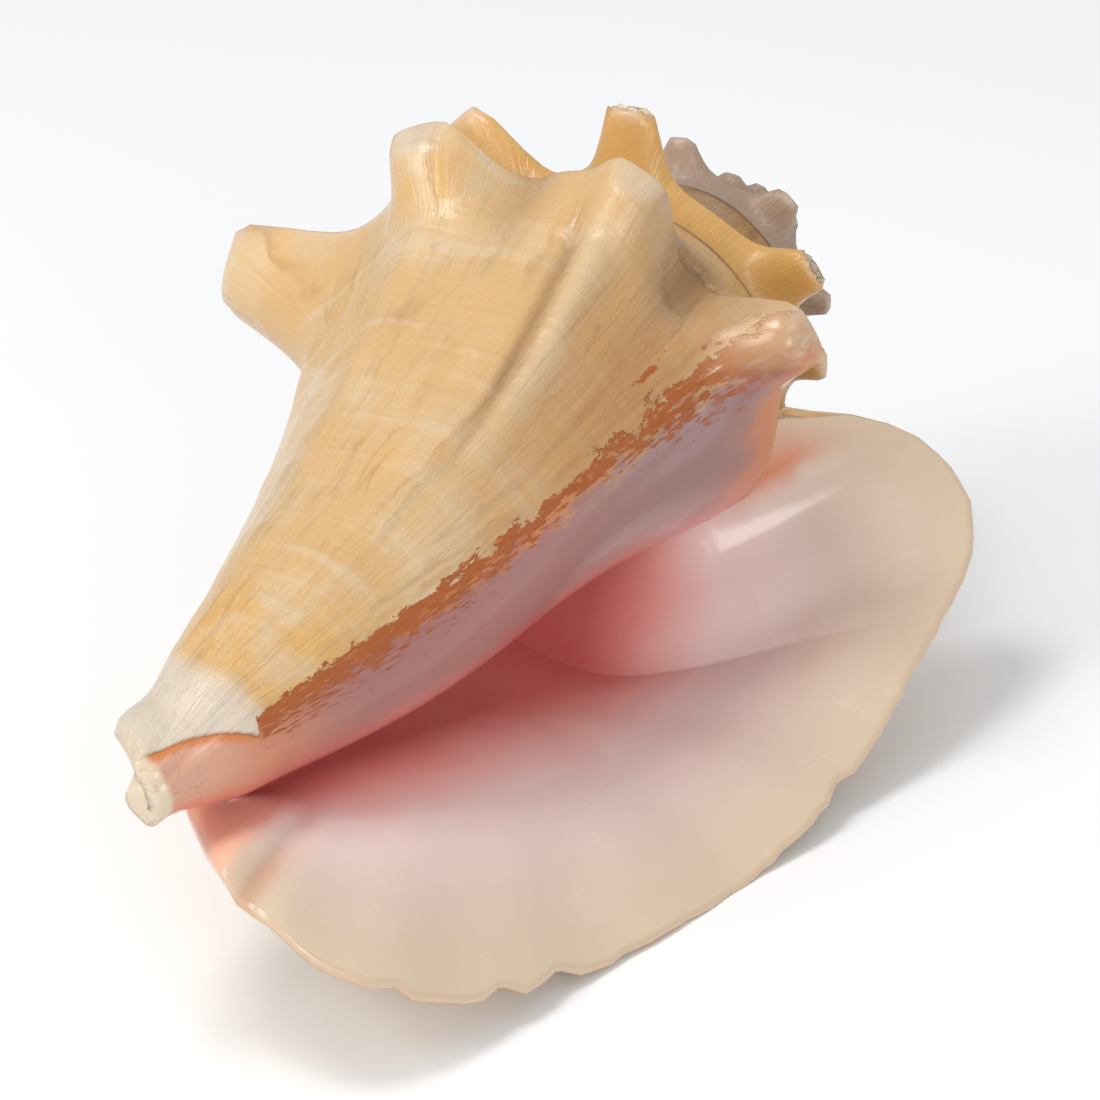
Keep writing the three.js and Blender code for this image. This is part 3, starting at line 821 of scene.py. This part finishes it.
# What the colours follow: soft clouds and patches, fine grit, growth lines that run down a
# profile, and bands that follow the coil.
clouds = mottle(at, 0.028, 2.0)
patches = mottle(at, 0.09, 3.0)
grit = mottle(at, 0.6, 4.0, 0.65)
streaks = mottle(spot(growth * 60.0, place * 4.0, 0.0), 1.0, 4.0, 0.6)
fine_streaks = mottle(spot(growth * 420.0, place * 14.0, 3.0), 1.0, 3.0, 0.6)
bands = mottle(spot(growth * 4.0, place * 60.0, 7.0), 1.0, 2.0, 0.5)

# Outside: ochre clouded with cream, golden and then bone white towards the canal, and worn pale
# at the tips. Painted shade darkens the hollows beside the fifth spine, the tawny side near the
# glaze, the crease of the rib below that spine and the recesses of the older whorls, which are
# also browner; a painted highlight runs along that rib's crest, and painted shade fills broken
# tubes.
OCHRE = colour(204, 166, 112)
CREAM = colour(210, 186, 152)
GOLDEN = colour(212, 162, 86)
TAWNY = colour(168, 116, 58)
BROWNED = colour(126, 84, 44)
BONE = colour(210, 196, 178)
GREYED = colour(152, 132, 120)
SUTURE_LINE = colour(138, 98, 90)
# Painted shade inside a spine's tube where the tip is broken off.
TUBE_SHADE = colour(96, 70, 56)

creamy = steps_up(clouds * 1.6 + streaks * 0.5 + bands * 0.35, -0.18, 0.3)
banded = steps_up(bands + clouds * 0.4 + grit * 0.2 + streaks * 0.2, 0.04, 0.24)
golden = steps_up(patches + clouds - streaks * 0.3, 0.0, 0.34)
golden_end = hump(place, 0.84, 0.07) * steps_up(clouds + patches, -0.15, 0.15)
streaked = steps_up(streaks + patches * 0.5, 0.06, 0.42)
old_edges = mottle(spot(growth * 22.0 + patches * 0.8, place * 1.5, 15.0), 1.0, 2.0, 0.5)
old_edges = hump(old_edges, 0.02, 0.02) * steps_up(patches + clouds, -0.2, 0.2)
# Partly the shell's own tawny colour near the glaze, partly painted shade on the side that faces
# away from the key lamp.
tawny_and_shade_near_glaze = steps_up(growth + clouds * 0.1, 0.52, 0.66) * hump(place, 0.42, 0.18)
# Painted shade, in brown, in the hollows on both sides of the fifth spine back from the lip, near
# the shoulder.
shade_in_hollows = hump(growth, 0.635, 0.035) + hump(growth, 0.5, 0.022) * 0.7
shade_in_hollows = shade_in_hollows * hump(place, 0.21, 0.1)
crest, on_rib = creased_rib(growth, place)
crest = crest + patches * 0.01
older = steps_up(growth, 0.95, 1.1)
# The older whorls are browner away from their shoulders: partly their own colour, partly painted
# shade in their recesses.
brown_and_shade_off_shoulder = 1.0 - hump(place, 0.25, 0.05)
oldest = steps_up(growth, 1.85, 2.1)
at_canal_end = steps_up(place + clouds * 0.05 + patches * 0.03, 0.885, 0.915)
worn_tip = steps_up(tip + patches * 0.8 + grit * 0.3, 0.5, 1.2)
tube_rim = hump(hole, 0.2, 0.2) * steps_up(hole, 0.01, 0.05)
suture_wave = mottle(spot(growth * 30.0, 0.0, 9.0), 1.0, 2.0) * 0.02
in_suture = hump(place + suture_wave, 0.012, 0.007) * steps_up(growth, 0.02, 0.06)
outside = coats(
    OCHRE,
    (CREAM, creamy * 0.9),
    (CREAM, banded * 0.6),
    (GOLDEN, golden * 0.5),
    (GOLDEN, golden_end * 0.8),
    (BROWNED, streaked * 0.5),
    (BROWNED, old_edges * 0.28),
    (TAWNY, tawny_and_shade_near_glaze * (0.75 + streaks)),
    (BROWNED, smaller(0.9, shade_in_hollows * (0.8 + streaks * 1.2))),
    # Painted shade in the crease beside the rib below the fifth spine, and a painted highlight
    # along its crest.
    (BROWNED, hump(crest, -0.019, 0.007) * on_rib * 0.55),
    (CREAM, hump(crest, 0.0, 0.012) * on_rib * 0.6),
    (GOLDEN, older * 0.7),
    (BROWNED, older * brown_and_shade_off_shoulder * (0.6 + streaks + patches * 0.5)),
    (BONE, at_canal_end * 0.9),
    (GREYED, oldest * (0.85 + patches * 0.5)),
    (BONE, worn_tip * 0.55),
    (BONE, tube_rim * 0.8),
    (SUTURE_LINE, in_suture * 0.75),
    (TUBE_SHADE, steps_up(hole, 0.5, 1.0)),
)

# Glaze beside the mouth, on the outer face of the last whorl and the inner ones behind it. It
# starts along an edge at this growth, torn but for its last stretch near the canal.
GLAZE_START = 0.683
CANAL_PLACE = 0.902
torn = mottle(spot(growth * 70.0, place * 34.0, 2.0), 1.0, 5.0, 0.68)
tear = mottle(spot(growth * 130.0 + place * 30.0, place * 50.0, 11.0), 1.0, 4.0, 0.7)
threads = mottle(spot(growth * 330.0, place * 36.0, 4.0), 1.0, 3.0, 0.6)
at_canal = steps_up(place, CANAL_PLACE - 0.006, CANAL_PLACE)
edge_wobble = (torn * 0.07 + mottle(at, 0.8, 3.0, 0.7) * 0.008) * (1.0 - 0.75 * at_canal)
glaze_start = GLAZE_START + 0.04 * at_canal - 2.2 * larger(0.0, place - CANAL_PLACE)
glaze_depth = growth - glaze_start + edge_wobble
off_spire = larger(1.0 - steps_up(growth, 0.98, 1.0), steps_up(place, 0.34, 0.38))
on_side = off_spire * steps_up(place, 0.24, 0.26)
glazed = steps_up(glaze_depth, 0.0, 0.002) * on_side

# It is mauve, rosier towards the canal, peach at both ends, and deep rose where it turns into
# the mouth. Some of the ground shows through at its edge.
MAUVE = colour(152, 116, 114)
ROSY = colour(158, 104, 98)
PEACH = colour(198, 126, 90)
PALE_PEACH = colour(208, 164, 142)
DEEP_ROSE = colour(232, 128, 120)
ORANGE = colour(200, 120, 60)
at_shoulder = 1.0 - steps_up(place + patches * 0.08, 0.26, 0.32)
at_ends = larger(at_shoulder, steps_up(place + patches * 0.05, 0.78, 0.92))
thin = 1.0 - steps_up(glaze_depth + patches * 0.05 + tear * 0.03, 0.012, 0.036)
glaze = coats(
    MAUVE,
    (ROSY, steps_up(place + clouds * 0.2, 0.4, 0.6)),
    (PEACH, at_ends * 0.9),
    (PALE_PEACH, steps_up(place, 0.88, 0.96) * 0.7),
    (painted_over(outside, ORANGE, steps_up(place + patches * 0.2, 0.42, 0.6)), thin * 0.9),
    (DEEP_ROSE, steps_up(growth + patches * 0.05, 0.8, 0.93) * 0.85),
)

# Along that edge lies a torn band of burnt orange brown, in fine strokes, thinner half way down,
# with a few loose specks in front of it. The canal's cut end is cream, finely cracked.
BURNT = colour(158, 78, 6)
CANAL_LINE = colour(150, 92, 50)
CUT_END = colour(212, 194, 168)
CRACK = colour(160, 112, 72)
thinning = 10.0 + 10.0 * hump(place + clouds * 0.1, 0.52, 0.08)
thinning = thinning - 4.0 * steps_up(place, 0.62, 0.85)
burnt = steps_up(tear * 1.3 + threads * 0.9 + 0.8 - glaze_depth * thinning, 0.42, 0.6) * glazed
burnt = burnt * (0.15 + 0.85 * steps_up(place + patches * 0.1, 0.27, 0.34))
near_specks = hump(growth, 0.661, 0.008) * hump(place, 0.38, 0.05)
specks = steps_up(tear + torn * 0.6 + near_specks * 0.52, 0.44, 0.48) * on_side
burnt = larger(burnt, specks * (1.0 - glazed)) * (1.0 - at_canal)
at_end = steps_up(place, 0.982, 0.992)
cracks = hump(mottle(at, 0.2, 2.0), 0.0, 0.01) * steps_up(place, 0.945, 0.96)
outer_colour = coats(
    outside,
    (glaze, glazed),
    (BURNT, burnt * smaller(1.0, 0.9 + threads * 0.8)),
    (CANAL_LINE, hump(glaze_depth, 0.0, 0.006) * at_canal * 0.7),
    (CUT_END, at_end),
    (CRACK, cracks * glazed * 0.35),
)

# Inside the lip and the last whorl: deep rose that pales to pink and then cream at the rim, with
# painted shade in a fold and a peach lobe near the canal, and an orange corner at the shoulder.
RIM_CREAM = colour(222, 206, 186)
RIM_TAN = colour(196, 160, 132)
# Painted shade in the fold of the rim near the canal.
FOLD_SHADE = colour(190, 138, 106)
LOBE_PEACH = colour(238, 178, 152)
CORNER_ORANGE = colour(202, 118, 72)
from_rim = (growth + clouds * 0.22 + patches * 0.1 + streaks * 0.02 + 1.0) / 1.25
lining = graded(from_rim, [
    (0.0, colour(208, 188, 160)), (0.1, colour(208, 186, 162)), (0.24, colour(212, 189, 174)),
    (0.38, colour(224, 200, 192)), (0.48, colour(232, 204, 198)), (0.6, colour(234, 182, 174)),
    (0.72, colour(234, 154, 146)), (0.86, DEEP_ROSE), (1.0, colour(230, 124, 114)),
])
clouded = steps_up(bands + streaks * 0.6 + patches * 0.6, 0.1, 0.5)
clouded = clouded * (1.0 - steps_up(growth, -0.5, -0.2))
# Where that painted shade lies in the fold.
fold = hump(place, *RIM_FOLD) * (1.0 - steps_up(growth, -0.8, -0.5))
lobe = steps_up(place, 0.89, 0.93) * (1.0 - steps_up(growth, -0.45, -0.1))
corner = (1.0 - steps_up(place + patches * 0.04, 0.05, 0.075)) * hump(growth, -0.66, 0.16)
lining = coats(
    lining,
    (RIM_CREAM, clouded * 0.5),
    (FOLD_SHADE, fold * 0.6),
    (LOBE_PEACH, lobe * 0.8),
    (CORNER_ORANGE, corner * (0.85 + patches)),
    (RIM_TAN, hump(growth, -1.0, 0.006) * 0.3),
    (CUT_END, at_end),
    (CRACK, cracks * at_end * 0.5),
)
feed(painted_over(outer_colour, lining, steps_up(face, 0.45, 0.6)), shader.inputs["Base Color"])

# Gloss: the outside is worn and streaky, the glaze and the lining are like porcelain.
porcelain = larger(glazed, steps_up(face, 0.4, 0.6))
rough = between(0.25 + streaks * 0.3 + grit * 0.2, 0.17 + patches * 0.06, porcelain)
feed(between(rough, 0.6, burnt), shader.inputs["Roughness"])
shader.inputs["Coat Weight"].default_value = 0.1
shader.inputs["Coat Roughness"].default_value = 0.14
shader.inputs["Subsurface Weight"].default_value = 0.15
shader.inputs["Subsurface Radius"].default_value = (1.0, 0.5, 0.35)
shader.inputs["Subsurface Scale"].default_value = 0.0015

relief = (streaks * 0.8 + fine_streaks * 0.28 + bands * 0.4 + grit * 0.16) * (1.0 - porcelain)
relief = relief + glazed * 0.2 + (streaks * 0.06 + patches * 0.2) * porcelain - burnt * tear * 0.4
bump = Amount.tree.nodes.new("ShaderNodeBump")
bump.inputs["Strength"].default_value = 1.0
bump.inputs["Distance"].default_value = 0.0008
feed(relief, bump.inputs["Height"])
feed(Amount(bump.outputs[0]), shader.inputs["Normal"])

seed = bpy.data.objects.new("shell_growing", bpy.data.meshes.new("shell_growing"))
seed.data.materials.append(shell_glaze)
scene.collection.objects.link(seed)
growing = seed.modifiers.new("growing", "NODES")
growing.node_group = shell_tree
entries = {item.name: item.identifier for item in shell_tree.interface.items_tree}
for name, value in SIZES.items():
    growing[entries[name]] = value
growing[entries["Material"]] = shell_glaze
finished = bpy.data.meshes.new_from_object(
    seed.evaluated_get(bpy.context.evaluated_depsgraph_get()), preserve_all_data_layers=True,
    depsgraph=bpy.context.evaluated_depsgraph_get(),
)
seed.modifiers.remove(growing)
bpy.data.objects.remove(seed)
finished.materials.pop(index=0)       # an empty place that the grown mesh brings with it
shell = bpy.data.objects.new("conch_shell", finished)
scene.collection.objects.link(shell)
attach(shell, "root")
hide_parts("shell")


# ------------------------------------------------------------------------------- studio
# A pale sweep of paper for a floor, and large soft lamps above it.
floor_mesh = bpy.data.meshes.new("floor")
FLOOR_HALF = 4.0
floor_mesh.from_pydata(
    [(x, y, 0.0) for x, y in ((-FLOOR_HALF, -FLOOR_HALF), (FLOOR_HALF, -FLOOR_HALF),
                              (FLOOR_HALF, FLOOR_HALF), (-FLOOR_HALF, FLOOR_HALF))],
    [], [(0, 1, 2, 3)],
)
floor = bpy.data.objects.new("floor", floor_mesh)
scene.collection.objects.link(floor)
paper = bpy.data.materials.new("paper")
paper.use_nodes = True
paper_shader = paper.node_tree.nodes["Principled BSDF"]
paper_shader.inputs["Base Color"].default_value = (0.9, 0.9, 0.9, 1)
paper_shader.inputs["Roughness"].default_value = 0.9
floor_mesh.materials.append(paper)

world = bpy.data.worlds.new("studio")
world.use_nodes = True
world.node_tree.nodes["Background"].inputs["Color"].default_value = (0.95, 0.97, 1.0, 1)
world.node_tree.nodes["Background"].inputs["Strength"].default_value = 0.66
scene.world = world


def lamp(name, at, aimed_at, width, height, watts, colour=(1, 1, 1)):
    """A soft rectangular lamp."""
    data = bpy.data.lights.new(name, "AREA")
    data.shape = "RECTANGLE"
    data.size, data.size_y = width, height
    data.energy = watts
    data.color = colour
    made = bpy.data.objects.new(name, data)
    made.location = at
    made.rotation_mode = "QUATERNION"
    made.rotation_quaternion = (Vector(aimed_at) - Vector(at)).to_track_quat("-Z", "Y")
    scene.collection.objects.link(made)


lamp("key", (-0.85, -0.5, 0.8), (0, 0, 0.05), 0.45, 0.6, 5, (1.0, 0.99, 0.97))
lamp("top", (-0.33, -0.08, 1.0), (0, 0, 0.05), 0.3, 0.3, 3.5, (1.0, 0.99, 0.98))
lamp("fill", (0.5, -1.3, 0.6), (0, 0, 0.03), 0.7, 0.5, 5.5, (1.0, 0.99, 0.98))

bpy.context.view_layer.update()
